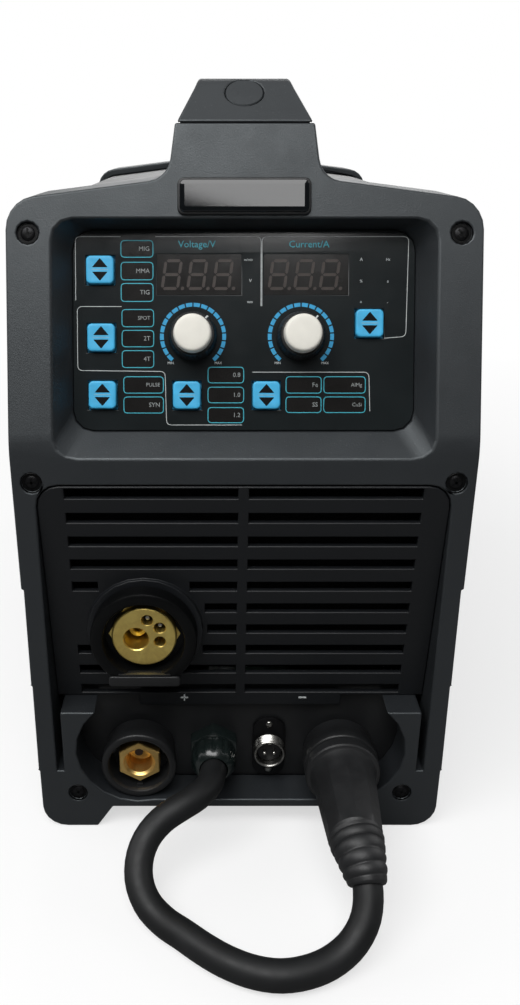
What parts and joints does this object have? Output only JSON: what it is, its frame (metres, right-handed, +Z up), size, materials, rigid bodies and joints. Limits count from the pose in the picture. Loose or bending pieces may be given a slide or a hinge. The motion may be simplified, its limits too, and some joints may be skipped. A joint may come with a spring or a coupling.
{
  "type": "mig welder",
  "caption": "Portable inverter MIG welder with leaning control panel, slotted grille, torch and power sockets, handle, side door over the wire feed and a short polarity lead.",
  "frame": {"origin": "under the middle of the case, on the plane of its feet, with the free lead and its plug left out", "axes": "+X right as seen from the front, +Y from the front panel to the rear panel, +Z up"},
  "size_m": [0.1994, 0.5239, 0.3465],
  "materials": {
    "case_plastic": "satin moulded charcoal",
    "panel_gloss": "glossy black printed panel",
    "board_green": "circuit board",
    "button_blue": "satin",
    "knob_black": "satin black",
    "cap_cream": "satin cream",
    "brass": "machined",
    "nickel": "nickel plated",
    "rubber_black": "matte",
    "sheet_black": "satin gloss black powder coat",
    "zinc_steel": "zinc plated",
    "switch_red": "gloss",
    "wire_copper": "copper coated wire",
    "heat_sink_aluminium": "extruded",
    "ferrite": "dull"
  },
  "bodies": {
    "case": {"front_bezel": "case_plastic", "front_grille": "case_plastic", "control_panel": "panel_gloss", "control_board": "board_green", "voltage_display": "panel_gloss", "current_display": "panel_gloss", "connector_plate": "knob_black", "positive_socket": "knob_black", "positive_contact": "brass", "negative_socket": "knob_black", "negative_contact": "brass", "lead_gland": "knob_black", "gland_cap": "knob_black", "remote_socket": "nickel", "remote_insert": "knob_black", "euro_flange": "knob_black", "euro_body": "brass", "polarity_lead": "rubber_black", "lead_plug": "rubber_black", "carry_handle": "case_plastic", "rear_panel": "case_plastic", "fan_guard": "knob_black", "fan_frame": "knob_black", "switch_housing": "knob_black", "mains_gland": "knob_black", "gas_inlet": "brass", "gas_valve": "zinc_steel", "sheet_cover": "sheet_black", "hinge_pin_front": "zinc_steel", "hinge_pin_rear": "zinc_steel", "base_tray": "zinc_steel", "centre_partition": "zinc_steel", "spool_hub": "knob_black", "feed_plate": "knob_black", "feed_motor": "zinc_steel", "power_board": "board_green", "heat_sink": "heat_sink_aluminium", "main_transformer": "ferrite"},
    "door": {"side_door": "sheet_black"},
    "latch_front": {"door_latch_front": "knob_black"},
    "latch_rear": {"door_latch_rear": "knob_black"},
    "mode_key": {"mode_button": "button_blue"},
    "trigger_key": {"trigger_button": "button_blue"},
    "pulse_key": {"pulse_button": "button_blue"},
    "wire_key": {"wire_button": "button_blue"},
    "function_key": {"function_button": "button_blue"},
    "display_key": {"display_button": "button_blue"},
    "voltage_dial": {"voltage_knob": "knob_black", "voltage_knob_cap": "cap_cream"},
    "current_dial": {"current_knob": "knob_black", "current_knob_cap": "cap_cream"},
    "fan": {"fan_rotor": "knob_black"},
    "rocker": {"power_rocker": "switch_red"},
    "reel": {"wire_spool": "knob_black", "wire_winding": "wire_copper"},
    "reel_nut": {"spool_nut": "knob_black"},
    "feed_roll": {"drive_roll": "zinc_steel"},
    "arm": {"pressure_arm": "zinc_steel"},
    "press_roll": {"pressure_roll": "zinc_steel"},
    "tensioner": {"tension_knob": "switch_red"}
  },
  "joints": [
    {"name": "door_hinge", "type": "hinge", "parent": "case", "child": "door", "pos_m": [-0.09545, 0.00535, 0.28398], "axis": [0, 1, 0], "range_deg": [0, 110]},
    {"name": "latch_front_turn", "type": "hinge", "parent": "door", "child": "latch_front", "pos_m": [-0.09495, -0.08465, 0.046], "axis": [1, 0, 0], "range_deg": [0, 90]},
    {"name": "latch_rear_turn", "type": "hinge", "parent": "door", "child": "latch_rear", "pos_m": [-0.09495, 0.09535, 0.046], "axis": [1, 0, 0], "range_deg": [0, 90]},
    {"name": "mode_key_press", "type": "slide", "parent": "case", "child": "mode_key", "axis": [0, 0.9461, -0.3239], "range_m": [0, 0.001], "stiffness_N_per_m": 400},
    {"name": "trigger_key_press", "type": "slide", "parent": "case", "child": "trigger_key", "axis": [0, 0.9461, -0.3239], "range_m": [0, 0.001], "stiffness_N_per_m": 400},
    {"name": "pulse_key_press", "type": "slide", "parent": "case", "child": "pulse_key", "axis": [0, 0.9461, -0.3239], "range_m": [0, 0.001], "stiffness_N_per_m": 400},
    {"name": "wire_key_press", "type": "slide", "parent": "case", "child": "wire_key", "axis": [0, 0.9461, -0.3239], "range_m": [0, 0.001], "stiffness_N_per_m": 400},
    {"name": "function_key_press", "type": "slide", "parent": "case", "child": "function_key", "axis": [0, 0.9461, -0.3239], "range_m": [0, 0.001], "stiffness_N_per_m": 400},
    {"name": "display_key_press", "type": "slide", "parent": "case", "child": "display_key", "axis": [0, 0.9461, -0.3239], "range_m": [0, 0.001], "stiffness_N_per_m": 400},
    {"name": "voltage_turn", "type": "hinge", "parent": "case", "child": "voltage_dial", "pos_m": [-0.0219, -0.18252, 0.24319], "axis": [0, -0.9461, 0.3239], "range_deg": [-100, 180]},
    {"name": "current_turn", "type": "hinge", "parent": "case", "child": "current_dial", "pos_m": [0.0247, -0.18252, 0.24319], "axis": [0, -0.9461, 0.3239], "range_deg": [-100, 180]},
    {"name": "fan_spin", "type": "hinge", "parent": "case", "child": "fan", "pos_m": [0.042, 0.19035, 0.112], "axis": [0, 1, 0], "continuous": true},
    {"name": "rocker_tilt", "type": "hinge", "parent": "case", "child": "rocker", "pos_m": [-0.045, 0.19065, 0.245], "axis": [-1, 0, 0], "range_deg": [0, 18]},
    {"name": "reel_spin", "type": "hinge", "parent": "case", "child": "reel", "pos_m": [-0.05, 0.03735, 0.17], "axis": [1, 0, 0], "continuous": true},
    {"name": "reel_nut_turn", "type": "hinge", "parent": "case", "child": "reel_nut", "pos_m": [-0.082, 0.03735, 0.17], "axis": [1, 0, 0], "continuous": true},
    {"name": "feed_roll_spin", "type": "hinge", "parent": "case", "child": "feed_roll", "pos_m": [-0.0487, -0.10965, 0.0937], "axis": [1, 0, 0], "continuous": true},
    {"name": "arm_lift", "type": "hinge", "parent": "case", "child": "arm", "pos_m": [-0.033, -0.07165, 0.132], "axis": [-1, 0, 0], "range_deg": [0, 55]},
    {"name": "press_roll_spin", "type": "hinge", "parent": "arm", "child": "press_roll", "pos_m": [-0.0487, -0.10965, 0.1201], "axis": [1, 0, 0], "continuous": true},
    {"name": "tension_turn", "type": "hinge", "parent": "arm", "child": "tensioner", "pos_m": [-0.0333, -0.12865, 0.1341], "axis": [0, 0, 1], "continuous": true}
  ]
}
